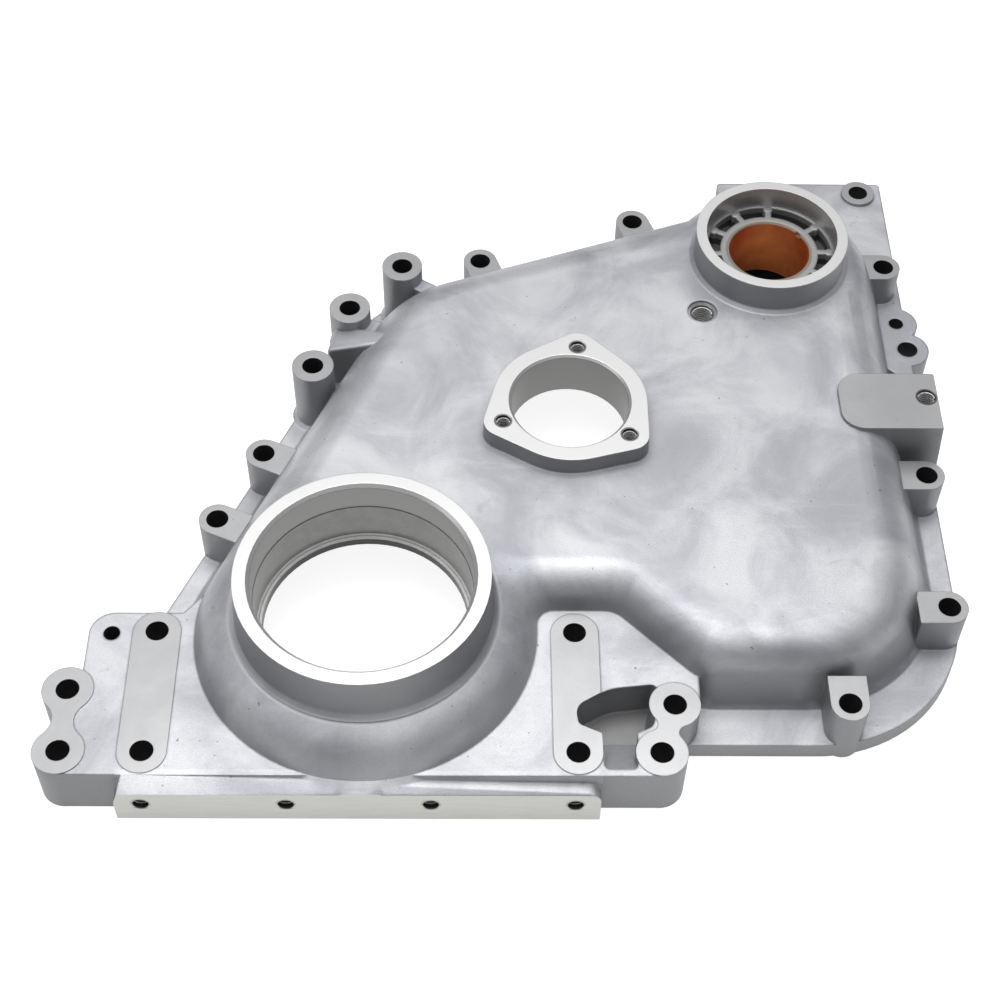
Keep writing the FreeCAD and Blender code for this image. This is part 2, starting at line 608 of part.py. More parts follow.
def drive_bushing():
    x, y = DRIVE_X, DRIVE_Y
    sleeve = turned(x, y, [
        (BUSH_BORE_R, BUSH_Z), (BUSH_R, BUSH_Z), (BUSH_R, DRIVE_FACE_Z), (BUSH_BORE_R + BUSH_CHAMFER, DRIVE_FACE_Z),
        (BUSH_BORE_R, DRIVE_FACE_Z - BUSH_CHAMFER)])
    notch = Part.makeBox(8, NOTCH_W, NOTCH_DEPTH + 1, vec(BUSH_BORE_R - 4, -NOTCH_W / 2, DRIVE_FACE_Z - NOTCH_DEPTH))
    notch.rotate(vec(0, 0, 0), vec(0, 0, 1), NOTCH_ANGLE)
    notch.translate(vec(x, y, 0))
    return sleeve.cut(notch)


os.makedirs("parts", exist_ok=True)
for name, shape in (("gear_cover", cover()), ("drive_bushing", drive_bushing())):
    print(name, shape.isValid(), len(shape.Solids), round(shape.Volume / 1000, 1), "cm3", shape.BoundBox)
    if len(shape.Solids) == 1:
        shape = shape.Solids[0]
    shape.exportStep("parts/" + name + ".step")
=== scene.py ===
import bpy
import math
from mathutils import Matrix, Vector


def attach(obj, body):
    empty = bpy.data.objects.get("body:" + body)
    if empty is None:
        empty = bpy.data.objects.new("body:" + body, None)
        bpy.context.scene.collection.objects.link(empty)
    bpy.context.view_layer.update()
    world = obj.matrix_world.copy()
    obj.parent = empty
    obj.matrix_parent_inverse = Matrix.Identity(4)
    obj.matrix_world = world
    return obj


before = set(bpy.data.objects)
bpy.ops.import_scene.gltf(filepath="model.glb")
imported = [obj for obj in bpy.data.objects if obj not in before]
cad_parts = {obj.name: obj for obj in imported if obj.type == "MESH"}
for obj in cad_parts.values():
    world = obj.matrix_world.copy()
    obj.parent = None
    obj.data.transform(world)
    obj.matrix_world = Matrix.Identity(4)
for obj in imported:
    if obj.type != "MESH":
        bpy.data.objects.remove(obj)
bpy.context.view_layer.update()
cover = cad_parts["gear_cover"]
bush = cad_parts["drive_bushing"]
scene = bpy.context.scene
scene.view_settings.view_transform = "Standard"
print("frame loaded")

# Places on the casting in mm, as the frame has them
boltHoles = [  # x, y, radius
    (-90.8, 76.0, 6.5), (-67.1, 126.3, 6.5), (-39.4, 181.8, 6.5), (-18.8, 231.2, 6.5), (13.4, 268.8, 6.5),
    (63.9, 292.1, 6.5), (166.6, 330.4, 6.5), (329.4, 383.2, 6.5), (331.4, 288.8, 6.5), (340.3, 260.1, 4.7),
    (344.8, 237.0, 6.5), (334.9, 112.0, 6.5), (334.1, 15.0, 6.5), (269.4, -49.9, 6.5),
    (-163.7, -79.0, 6.5), (-163.7, -40.0, 6.5), (164.0, -79.0, 6.5), (172.8, -48.5, 6.5),
    (-118.4, -79.0, 6.5), (-118.4, -1.0, 6.5), (118.4, -79.0, 6.5), (118.4, -1.0, 6.5), (-144.0, -2.2, 4.7),
]
centreFlange = {"x": 118.2, "y": 142.3, "pitch": 43.6, "angle": 82.5, "top": 72.5, "tap": 4.3}
panFace = {"y": -100.5, "z": 16.0, "xs": (-119.2, -40.4, 38.4, 117.2), "tap": 4.3}
blockTap = {"x": 336.4, "y": 154.6, "tap": 5.4, "top": 63.0}
plugPort = {"x": 205.0, "y": 228.5, "tap": 6.6, "top": 58.0}
drive = {"x": 251.0, "y": 276.3, "bore": 41.75, "face": 66.5}
machinedLevels = (19.0, 36.0, 40.0, 58.0, 63.0, 72.5, 82.0, 90.5)


def mm(*values):
    return tuple(v / 1000 for v in values)


def deselectAll():
    if bpy.context.mode != "OBJECT":
        bpy.ops.object.mode_set(mode="OBJECT")
    bpy.ops.object.select_all(action="DESELECT")


def finishPiece(piece, name, material):
    deselectAll()
    piece.select_set(True)
    bpy.context.view_layer.objects.active = piece
    bpy.ops.object.transform_apply(location=True, rotation=True, scale=True)
    piece.name = piece.data.name = name
    piece.data.materials.clear()
    piece.data.materials.append(material)
    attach(piece, "root")
    return piece


# Copy of a modelled piece with a mesh of its own, put in its place
def copyPiece(model, name, place, material, tilt=0.0):
    piece = model.copy()
    piece.data = model.data.copy()
    bpy.context.collection.objects.link(piece)
    piece.location = mm(*place)
    piece.rotation_euler = (math.radians(tilt), 0, 0)
    return finishPiece(piece, name, material)


# Short calls for placing and linking shader nodes in one tree
class Wires:
    def __init__(self, tree):
        self.tree = tree

    def put(self, kind, **settings):
        node = self.tree.nodes.new(kind)
        for key, value in settings.items():
            setattr(node, key, value)
        return node

    def feed(self, socket, value):
        if isinstance(value, bpy.types.NodeSocket):
            self.tree.links.new(value, socket)
        else:
            socket.default_value = value

    def math(self, operation, a, b=0.0, c=0.0):
        node = self.put("ShaderNodeMath", operation=operation)
        for socket, value in zip(node.inputs, (a, b, c)):
            self.feed(socket, value)
        return node.outputs[0]

    def above(self, value, limit):
        return self.math("GREATER_THAN", value, limit)

    def below(self, value, limit):
        return self.math("LESS_THAN", value, limit)

    def near(self, value, target, reach):
        return self.math("COMPARE", value, target, reach)

    def both(self, a, b):
        return self.math("MULTIPLY", a, b)

    def either(self, a, b):
        return self.math("MAXIMUM", a, b)

    def outside(self, mask):
        return self.math("SUBTRACT", 1.0, mask)

    def vector(self, operation, a, b=(0, 0, 0)):
        node = self.put("ShaderNodeVectorMath", operation=operation)
        self.feed(node.inputs[0], a)
        self.feed(node.inputs[1], b)
        return node.outputs["Value"] if operation in ("DISTANCE", "LENGTH", "DOT_PRODUCT") else node.outputs["Vector"]

    def split(self, vector):
        node = self.put("ShaderNodeSeparateXYZ")
        self.feed(node.inputs[0], vector)
        return node.outputs

    def noise(self, where, scale, detail=4.0, roughness=0.55, distortion=0.0):
        node = self.put("ShaderNodeTexNoise")
        self.feed(node.inputs["Vector"], where)
        settings = {"Scale": scale, "Detail": detail, "Roughness": roughness, "Distortion": distortion}
        for key, value in settings.items():
            self.feed(node.inputs[key], value)
        return node.outputs[0]

    def span(self, value, low, high, toLow=0.0, toHigh=1.0, kind="SMOOTHSTEP"):
        node = self.put("ShaderNodeMapRange", interpolation_type=kind)
        for socket, v in zip(node.inputs, (value, low, high, toLow, toHigh)):
            self.feed(socket, v)
        return node.outputs[0]

    def mixColour(self, share, a, b):
        node = self.put("ShaderNodeMix", data_type="RGBA")
        for socket, v in ((node.inputs[0], share), (node.inputs[6], a), (node.inputs[7], b)):
            self.feed(socket, v)
        return node.outputs[2]

    def mixValue(self, share, a, b):
        node = self.put("ShaderNodeMix", data_type="FLOAT")
        for socket, v in ((node.inputs[0], share), (node.inputs[2], a), (node.inputs[3], b)):
            self.feed(socket, v)
        return node.outputs[0]

    def mixVector(self, share, a, b):
        node = self.put("ShaderNodeMix", data_type="VECTOR")
        for socket, v in ((node.inputs[0], share), (node.inputs[4], a), (node.inputs[5], b)):
            self.feed(socket, v)
        return node.outputs[1]

    def bump(self, height, distance, normal=None):
        node = self.put("ShaderNodeBump")
        node.inputs["Distance"].default_value = distance
        self.feed(node.inputs["Height"], height)
        if normal is not None:
            self.feed(node.inputs["Normal"], normal)
        return node

    def use(self, group, *values):
        node = self.put("ShaderNodeGroup")
        node.node_tree = group
        for socket, value in zip(node.inputs, values):
            self.feed(socket, value)
        return node.outputs


def newGroup(name, inputs, outputs):
    group = bpy.data.node_groups.new(name, "ShaderNodeTree")
    kinds = {"v": "NodeSocketVector", "f": "NodeSocketFloat"}
    for way, sockets in (("INPUT", inputs), ("OUTPUT", outputs)):
        for title, kind in sockets:
            group.interface.new_socket(title, in_out=way, socket_type=kinds[kind])
    w = Wires(group)
    return group, w, w.put("NodeGroupInput").outputs, w.put("NodeGroupOutput").inputs


# Distance in mm from the nearest edge of the listed round holes, negative inside
def makeHoleField(name, holes, flatten):
    group, w, given, out = newGroup(name, [("Place", "v")], [("Edge", "f")])
    flat = w.vector("MULTIPLY", given[0], flatten)
    nearest = None
    for spot, radius in holes:
        edge = w.math("SUBTRACT", w.vector("DISTANCE", flat, spot), radius)
        nearest = edge if nearest is None else w.math("MINIMUM", nearest, edge)
    w.feed(out[0], nearest)
    return group


# Noise of the metal: what each pattern reads and where it starts and is full
skinNoise = {
    "shift": (310.0, -90.0, 40.0),
    "clouds": (0.30, 0.72), "stainScale": 2.3, "stains": (0.56, 0.80),
    "grainScale": 1.3, "speckScale": 0.33, "specks": (0.765, 0.80),
    "streakTurn": -52, "streakScale": (0.010, 0.075, 0.03), "streaks": (0.55, 0.78),
}
roughSpan = (0.2, 0.8)  # noise values at which a finish is smoothest and roughest
mergeReach = 0.00001  # metres, corners this close become one


# Cloudy stains, streaks and fine grain of metal, each 0 to 1
def makeMetalSkin():
    group, w, given, out = newGroup(
        "metalSkin", [("Place", "v"), ("Stain size", "f")],
        [("Clouds", "f"), ("Stains", "f"), ("Grain", "f"), ("Specks", "f"), ("Streaks", "f")])
    scale = w.math("DIVIDE", 1.0, given[1])
    shifted = w.vector("ADD", given[0], skinNoise["shift"])
    stainScale = w.math("MULTIPLY", scale, skinNoise["stainScale"])
    clouds = w.noise(given[0], scale, detail=5.0, roughness=0.6, distortion=0.6)
    stains = w.noise(shifted, stainScale, detail=6.0, roughness=0.68, distortion=1.2)
    grain = w.noise(given[0], skinNoise["grainScale"], detail=4.0, roughness=0.65)
    specks = w.noise(shifted, skinNoise["speckScale"], detail=1.0, roughness=0.4)
    turned = w.put("ShaderNodeMapping")
    w.feed(turned.inputs["Vector"], shifted)
    turned.inputs["Rotation"].default_value = (0.0, 0.0, math.radians(skinNoise["streakTurn"]))
    turned.inputs["Scale"].default_value = skinNoise["streakScale"]
    streaks = w.noise(turned.outputs[0], 1.0, detail=6.0, roughness=0.7, distortion=0.8)
    w.feed(out["Clouds"], w.span(clouds, *skinNoise["clouds"]))
    w.feed(out["Stains"], w.span(stains, *skinNoise["stains"]))
    w.feed(out["Grain"], grain)
    w.feed(out["Specks"], w.span(specks, *skinNoise["specks"]))
    w.feed(out["Streaks"], w.span(streaks, *skinNoise["streaks"]))
    return group


# New material with its place in mm
def newMaterial(name):
    material = bpy.data.materials.new(name)
    material.use_nodes = True
    w = Wires(material.node_tree)
    shader = material.node_tree.nodes["Principled BSDF"]
    place = w.vector("MULTIPLY", w.put("ShaderNodeTexCoord").outputs["Object"], (1000.0, 1000.0, 1000.0))
    return material, w, shader, place


flangeTaps = []
for k in range(3):
    turn = math.radians(centreFlange["angle"] + 120 * k)
    flangeTaps.append((centreFlange["x"] + centreFlange["pitch"] * math.cos(turn),
                       centreFlange["y"] + centreFlange["pitch"] * math.sin(turn)))
tappedHoles = [((x, y, 0.0), centreFlange["tap"]) for x, y in flangeTaps]
tappedHoles += [((t["x"], t["y"], 0.0), t["tap"]) for t in (blockTap, plugPort)]
panHoles = [((x, 0.0, panFace["z"]), panFace["tap"]) for x in panFace["xs"]]
boltField = makeHoleField("boltHoleField", [((x, y, 0.0), r) for x, y, r in boltHoles], (1, 1, 0))
tapField = makeHoleField("tapHoleField", tappedHoles, (1, 1, 0))
panField = makeHoleField("panHoleField", panHoles, (1, 0, 1))
metalSkin = makeMetalSkin()

castLook = {
    "light": (0.70, 0.71, 0.73, 1), "dark": (0.43, 0.44, 0.47, 1),  # clouds of the cast skin
    # the streak colour also paints the highlight ring at the seal ring's foot
    "stain": (0.36, 0.355, 0.36, 1), "streak": (0.80, 0.80, 0.81, 1),
    "grain": (0.30, 0.30, 0.31, 1), "speck": (0.10, 0.10, 0.10, 1),
    "flank": (0.24, 0.243, 0.25, 1),  # painted shade on steep cast walls
    "cut": (0.41, 0.41, 0.405, 1), "ring": (0.80, 0.80, 0.79, 1),  # low and high milled tops
    # painted shade: seal and centre bore walls darker than the milled tops
    "bore": (0.29, 0.29, 0.28, 1), "centreBore": (0.25, 0.25, 0.245, 1), "driveBore": (0.55, 0.54, 0.53, 1),
    "panClean": (0.60, 0.60, 0.57, 1), "panDull": (0.52, 0.52, 0.50, 1),
    # painted shade: near black inside the seal bore below its rim, dark grey on the kidney recess floor
    "lip": (0.05, 0.05, 0.05, 1), "kidney": (0.27, 0.27, 0.27, 1),
    # painted shade: the drive ring's low pockets darker than the ribs
    "ribs": (0.40, 0.40, 0.40, 1), "pocket": (0.13, 0.13, 0.135, 1),
    # painted shade: near-black walls of drilled and tapped holes
    "hole": (0.012, 0.012, 0.013, 1), "tapped": (0.045, 0.045, 0.045, 1),
    "cloudSize": 62.0, "toolMarks": (0.06, 2.6, 2.6),  # mm, and noise scale along each axis
    "stainShare": 0.5, "streakShare": 0.38, "grainShare": 0.22, "speckShare": 0.6,
    "flankShare": 0.85, "footRingShare": 0.6, "cutShare": 0.7,
    "grainSpan": (0.42, 0.72), "flankSpan": (0.10, 0.80), "panSpan": (0.3, 0.7),
    "castMetal": 0.65, "cutMetal": 0.7, "castRough": (0.44, 0.58), "cutRough": (0.30, 0.40), "holeRough": 0.8,
    "castEdge": 0.0020, "cutEdge": 0.0005, "footEdge": 0.0045,  # rounding of edges, metres
    "relief": 0.00013, "cutRelief": 0.25, "mouthSink": -0.0011,  # metres, share, metres
    "sillFacing": (0.0, -0.12, 0.99),
}

# Where the finishes of the casting end, mm
castZones = {
    "level": 0.985, "steep": 0.3, "band": 0.3,  # facing up, facing sideways, reach of a milled height
    "sealBore": (64.2, 39.0), "centreBore": (37.6, 41.0),  # radius, lowest height
    "driveBore": (drive["bore"] + 0.4, drive["face"] + 0.3),
    "ringLow": 71.0, "sealChamfer": 88.55, "centreChamfer": 71.05,
    "panDepth": -88.0, "farOff": 99.0,  # pan holes count only in front of this y
    "holeWall": 0.2, "threadWall": 0.2, "threadDepth": -1.2, "mouth": (0.15, 1.25),
    # first pair: where the painted shade inside the seal bore stops
    "lip": (58.4, 44.8), "foot": (84.0, 68.0),  # radius, highest height
    "ribTop": 0.2, "pocketTop": 62.0, "driveWall": 1.0,
    # painted highlight ring at the seal ring's foot: radius, distances where it is full and gone, and height with
    # reach, mm
    "footRing": 75.6, "footRingWidth": (0.4, 1.9), "footRingHeight": (60.0, 4.0),
    # painted shade on the kidney recess floor
    "kidney": (9.0, 0.4),  # height, reach
    "sillFront": -90.0, "sillHeight": (30.7, 4.8), "sillHalf": 131.5, "sillFade": (-40.0, 125.0, 0.8, 0.3),
}


# Masks of the casting's places, 1 inside, and the distances they come from
def markCasting(w, place):
    zone = castZones
    x, y, z = w.split(place)
    normal = w.split(w.put("ShaderNodeNewGeometry").outputs["True Normal"])
    flat = w.vector("MULTIPLY", place, (1, 1, 0))
    fromCrank = w.vector("LENGTH", flat)
    fromCentre = w.vector("DISTANCE", flat, (centreFlange["x"], centreFlange["y"], 0))
    fromDrive = w.vector("DISTANCE", flat, (drive["x"], drive["y"], 0))

    faceUp = w.above(normal[2], zone["level"])
    wall = w.below(w.math("ABSOLUTE", normal[2]), zone["steep"])
    milled = w.near(z, machinedLevels[0], zone["band"])
    for height in machinedLevels[1:]:
        milled = w.either(milled, w.near(z, height, zone["band"]))
    front = w.both(w.below(normal[1], -zone["level"]), w.near(y, panFace["y"], zone["band"]))
    cut = w.either(w.both(faceUp, milled), front)
    for distance, (radius, low) in ((fromCrank, zone["sealBore"]), (fromCentre, zone["centreBore"]),
                                    (fromDrive, zone["driveBore"])):
        cut = w.either(cut, w.both(w.below(distance, radius), w.above(z, low)))
    bored = w.both(cut, w.outside(w.either(faceUp, front)))

    behindPan = w.above(y, zone["panDepth"])
    panEdge = w.math("ADD", w.use(panField, place)[0], w.math("MULTIPLY", behindPan, zone["farOff"]))
    mouthEdge = w.math("MINIMUM", w.use(tapField, place)[0], panEdge)
    inCentre = w.below(fromCentre, zone["centreBore"][0])
    # painted highlight: a pale band round the foot of the seal ring
    footRing = w.math("ABSOLUTE", w.math("SUBTRACT", fromCrank, zone["footRing"]))
    footRing = w.span(footRing, *zone["footRingWidth"], castLook["footRingShare"], 0.0)
    sill = w.both(w.below(y, zone["sillFront"]), w.near(z, *zone["sillHeight"]))
    sill = w.both(sill, w.below(w.math("ABSOLUTE", x), zone["sillHalf"]))
    return {
        "cut": cut, "front": front, "bored": bored,
        "ringTop": w.both(faceUp, w.above(z, zone["ringLow"])),
        "centreBore": w.both(bored, inCentre),
        "driveBore": w.both(bored, w.below(fromDrive, drive["bore"] + zone["driveWall"])),
        "chamfer": w.both(bored, w.either(w.above(z, zone["sealChamfer"]),
                                          w.both(inCentre, w.above(z, zone["centreChamfer"])))),
        "drilled": w.both(w.below(w.use(boltField, place)[0], zone["holeWall"]), wall),
        "threaded": w.below(mouthEdge, zone["threadWall"]),
        "deep": w.below(mouthEdge, zone["threadDepth"]),
        "mouth": w.span(mouthEdge, *zone["mouth"], castLook["mouthSink"], 0.0, "LINEAR"),
        # painted shade inside the seal bore below its rim
        "lip": w.both(w.below(fromCrank, zone["lip"][0]), w.below(z, zone["lip"][1])),
        "foot": w.both(w.below(z, zone["foot"][1]), w.below(fromCrank, zone["foot"][0])),
        "footRing": w.both(footRing, w.near(z, *zone["footRingHeight"])),
        # painted shade on the kidney recess floor
        "kidney": w.both(faceUp, w.near(z, *zone["kidney"])),
        "ribs": w.both(w.below(fromDrive, drive["bore"]), w.below(z, drive["face"] + zone["ribTop"])),
        # painted shade low in the drive ring
        "pocket": w.below(z, zone["pocketTop"]),
        "sill": w.both(sill, w.both(w.outside(cut), w.span(x, *zone["sillFade"]))),
    }


# Cast skin: clouds, stains, streaks and grain, with painted shade on the steep walls and a painted highlight at the
# seal ring's foot
def paintSkin(w, parts, marks, facing):
    look = castLook
    skin = w.mixColour(parts["Clouds"], look["dark"], look["light"])
    skin = w.mixColour(w.math("MULTIPLY", parts["Stains"], look["stainShare"]), skin, look["stain"])
    skin = w.mixColour(w.math("MULTIPLY", parts["Streaks"], look["streakShare"]), skin, look["streak"])
    skin = w.mixColour(w.span(parts["Grain"], *look["grainSpan"], 0.0, look["grainShare"]), skin, look["grain"])
    skin = w.mixColour(w.math("MULTIPLY", parts["Specks"], look["speckShare"]), skin, look["speck"])
    upward = w.split(facing)[2]
    # painted shade: walls get darker the further they turn from facing up
    skin = w.mixColour(w.span(upward, *look["flankSpan"], look["flankShare"], 0.0), skin, look["flank"])
    # painted highlight at the seal ring's foot
    return w.mixColour(marks["footRing"], skin, look["streak"])


# Milled tops, bored walls (the seal and centre bores in painted shade) and the oil pan face with its tool marks
def paintCut(w, skin, marks, toolMarks):
    look = castLook
    panColour = w.mixColour(w.span(toolMarks, *look["panSpan"]), look["panDull"], look["panClean"])
    bright = w.mixColour(look["cutShare"], skin, look["cut"])
    # the seal and centre bore walls take painted shade here
    for place, colour in (("ringTop", look["ring"]), ("front", panColour), ("bored", look["bore"]),
                          ("centreBore", look["centreBore"]), ("chamfer", look["ring"]),
                          ("driveBore", look["driveBore"])):
        bright = w.mixColour(marks[place], bright, colour)
    return bright


# The casting: grey cast skin, bright cut faces and painted shade in drilled holes, tapped holes and recesses
def makeCastAluminium():
    look = castLook
    material, w, shader, place = newMaterial("castAluminium")
    marks = markCasting(w, place)
    parts = w.use(metalSkin, place, look["cloudSize"])
    toolMarks = w.noise(w.vector("MULTIPLY", place, look["toolMarks"]), 1.0, detail=3.0, roughness=0.6)
    cut, drilled = marks["cut"], marks["drilled"]

    soft = w.put("ShaderNodeBevel", samples=6)
    castEdge = w.mixValue(marks["foot"], look["castEdge"], look["footEdge"])
    w.feed(soft.inputs["Radius"], w.mixValue(cut, castEdge, look["cutEdge"]))
    facing = w.vector("NORMALIZE", w.mixVector(marks["sill"], soft.outputs[0], look["sillFacing"]))

    skin = paintSkin(w, parts, marks, facing)
    colour = w.mixColour(cut, skin, paintCut(w, skin, marks, toolMarks))
    # painted shade: below a set height inside the drive ring the ribs turn dark
    ribColour = w.mixColour(marks["pocket"], look["ribs"], look["pocket"])
    # painted shade in holes, under the seal bore's rim, in the kidney recess and in the drive ring's pockets
    for spot, paint in (("threaded", look["tapped"]), ("deep", look["hole"]), ("lip", look["lip"]),
                        ("kidney", look["kidney"]), ("ribs", ribColour), ("drilled", look["hole"])):
        colour = w.mixColour(marks[spot], colour, paint)
    w.feed(shader.inputs["Base Color"], colour)

    metal = w.mixValue(cut, look["castMetal"], look["cutMetal"])
    w.feed(shader.inputs["Metallic"], w.mixValue(drilled, metal, 0.0))
    castRough = w.span(parts["Grain"], *roughSpan, *look["castRough"])
    rough = w.mixValue(cut, castRough, w.span(toolMarks, *roughSpan, *look["cutRough"]))
    w.feed(shader.inputs["Roughness"], w.mixValue(drilled, rough, look["holeRough"]))

    fine = w.math("MULTIPLY", w.mixValue(marks["front"], parts["Grain"], toolMarks), look["cutRelief"])
    relief = w.math("MULTIPLY", w.mixValue(cut, parts["Grain"], fine), look["relief"])
    bump = w.bump(w.math("ADD", relief, marks["mouth"]), 1.0, facing)
    bump.inputs["Strength"].default_value = 1.0
    w.feed(shader.inputs["Normal"], bump.outputs[0])
    return material


# Bored bronze with fine rings left by the tool
def makeBushBronze():
    look = {"bronze": (0.84, 0.28, 0.080, 1), "worn": (0.56, 0.15, 0.04, 1), "rim": (0.36, 0.29, 0.22, 1),
            "wornShare": 0.7, "cloudSize": 24.0, "metal": 0.8, "rough": (0.34, 0.46),
            "ringScale": (0.03, 0.03, 3.2), "ringDepth": 0.00004}
    material, w, shader, place = newMaterial("bushBronze")
    normal = w.split(w.put("ShaderNodeNewGeometry").outputs["True Normal"])
    clouds = w.use(metalSkin, place, look["cloudSize"])["Clouds"]
    rings = w.noise(w.vector("MULTIPLY", place, look["ringScale"]), 1.0, detail=2.0, roughness=0.5)
    colour = w.mixColour(w.math("MULTIPLY", clouds, look["wornShare"]), look["bronze"], look["worn"])
    w.feed(shader.inputs["Base Color"], w.mixColour(w.above(normal[2], 0.5), colour, look["rim"]))
    shader.inputs["Metallic"].default_value = look["metal"]
    w.feed(shader.inputs["Roughness"], w.span(rings, *roughSpan, *look["rough"]))
    w.feed(shader.inputs["Normal"], w.bump(rings, look["ringDepth"]).outputs[0])
    return material


# Cut metal in copies of one finish: a near-white copy with painted light for thread ridges and seal rims, and a dark
# copy with painted shade for bored steps
def makeCutMetal(name, look):
    material, w, shader, place = newMaterial(name)
    parts = w.use(metalSkin, place, look["cloudSize"])
    w.feed(shader.inputs["Base Color"], w.mixColour(parts["Clouds"], look["dull"], look["clean"]))
    shader.inputs["Metallic"].default_value = look["metal"]
    w.feed(shader.inputs["Roughness"], w.span(parts["Grain"], *roughSpan, *look["rough"]))
    w.feed(shader.inputs["Normal"], w.bump(parts["Grain"], look["grainDepth"]).outputs[0])
    return material


# painted light: cut metal made near white so threads and seal rims read bright
threadLook = {"clean": (0.95, 0.95, 0.93, 1), "dull": (0.88, 0.88, 0.86, 1), "metal": 0.35, "rough": (0.30, 0.40),
              "cloudSize": 9.0, "grainDepth": 0.000006}
# painted shade: the same cut metal made dark for the bored step
boredLook = {"clean": (0.27, 0.27, 0.265, 1), "dull": (0.23, 0.23, 0.225, 1), "metal": 0.6, "rough": (0.28, 0.38),
             "cloudSize": 9.0, "grainDepth": 0.000006}
castAluminium, bushBronze = makeCastAluminium(), makeBushBronze()
threadMetal = makeCutMetal("threadMetal", threadLook)
boredMetal = makeCutMetal("boredMetal", boredLook)
for node, material in ((cover, castAluminium), (bush, bushBronze)):
    node.data.materials.clear()
    node.data.materials.append(material)
print("materials made")


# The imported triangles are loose, so they are welded and shaded smooth where they turn gently
def smoothNode(node, degrees):
    weld = node.modifiers.new("weld", "WELD")
    weld.merge_threshold = mergeReach
    split = node.modifiers.new("split", "EDGE_SPLIT")
    split.split_angle = math.radians(degrees)
    split.use_edge_sharp = False
    even = node.modifiers.new("even", "WEIGHTED_NORMAL")
    even.weight = 100
    deselectAll()
    node.select_set(True)
    bpy.context.view_layer.objects.active = node
    bpy.ops.object.shade_smooth()


smoothNode(cover, degrees=28)
smoothNode(bush, degrees=28)
print("nodes shaded")

# Ridge of a thread: steps in a turn, width and height as shares of the pitch, and mm into the wall
ridge = {"steps": 24, "width": 0.66, "height": 0.5, "overlap": 0.02}

# Threads in mm: pitch, turns and how far below the face each one starts
threads = {
    "flange": {"radius": centreFlange["tap"], "pitch": 1.5, "turns": 9, "sunk": 2.0},
    "pan": {"radius": panFace["tap"], "pitch": 1.5, "turns": 6, "sunk": 2.0},
    "block": {"radius": blockTap["tap"], "pitch": 1.8, "turns": 9, "sunk": 1.6},
    "plug": {"radius": plugPort["tap"], "pitch": 1.8, "turns": 8, "sunk": 1.2},
}


# Internal thread: one triangular ridge wound round the hole's axis, below the origin
def windThread(thread):
    pitch, radius = thread["pitch"], thread["radius"]
    root, half, crest = radius + ridge["overlap"], pitch / 2 * ridge["width"], radius - pitch * ridge["height"]
    deselectAll()
    bpy.ops.mesh.primitive_circle_add(vertices=3, radius=pitch / 2000, location=(0, 0, 0))
    model = bpy.context.object
    for vertex, (x, z) in zip(model.data.vertices, ((root, -half), (root, half), (crest, 0))):
        vertex.co = mm(x, 0, z)
    screw = model.modifiers.new("wind", "SCREW")
    screw.axis = "Z"
    screw.screw_offset = -pitch / 1000
    screw.iterations = thread["turns"]
    screw.steps = screw.render_steps = ridge["steps"]
    screw.use_merge_vertices = False
    bpy.ops.object.modifier_apply(modifier="wind")
    bpy.ops.object.mode_set(mode="EDIT")
    bpy.ops.mesh.select_all(action="SELECT")
    bpy.ops.mesh.fill_holes(sides=3)
    bpy.ops.mesh.normals_make_consistent(inside=False)
    bpy.ops.object.mode_set(mode="OBJECT")
    return model


# One thread model copied into each of its holes
def cutThreads(thread, places, tilt=0.0):
    model = windThread(thread)
    for name, place in places:
        copyPiece(model, name, place, threadMetal, tilt)
    bpy.data.objects.remove(model)


flange, pan, block, plug = (threads[key] for key in ("flange", "pan", "block", "plug"))
cutThreads(flange, [(f"flangeThread{k + 1}", (x, y, centreFlange["top"] - flange["sunk"]))
                    for k, (x, y) in enumerate(flangeTaps)])
cutThreads(pan, [(f"panThread{k + 1}", (x, panFace["y"] + pan["sunk"], panFace["z"]))
                 for k, x in enumerate(panFace["xs"])], tilt=90.0)
cutThreads(block, [("blockThread", (blockTap["x"], blockTap["y"], blockTap["top"] - block["sunk"]))])
cutThreads(plug, [("plugThread", (plugPort["x"], plugPort["y"], plugPort["top"] - plug["sunk"]))])
print("threads cut")

# Cast ramp that carries a tall boss into the dome, mm and degrees: its far end is narrow and high
bossRamp = {"x": -30.0, "y": 214.8, "angle": -12.0, "length": 51.0, "half": 11.5, "taper": 0.16,
            "base": 16.5, "nearTop": 47.8, "farTop": 60.0, "round": 0.55, "steps": 6, "smooth": 50}


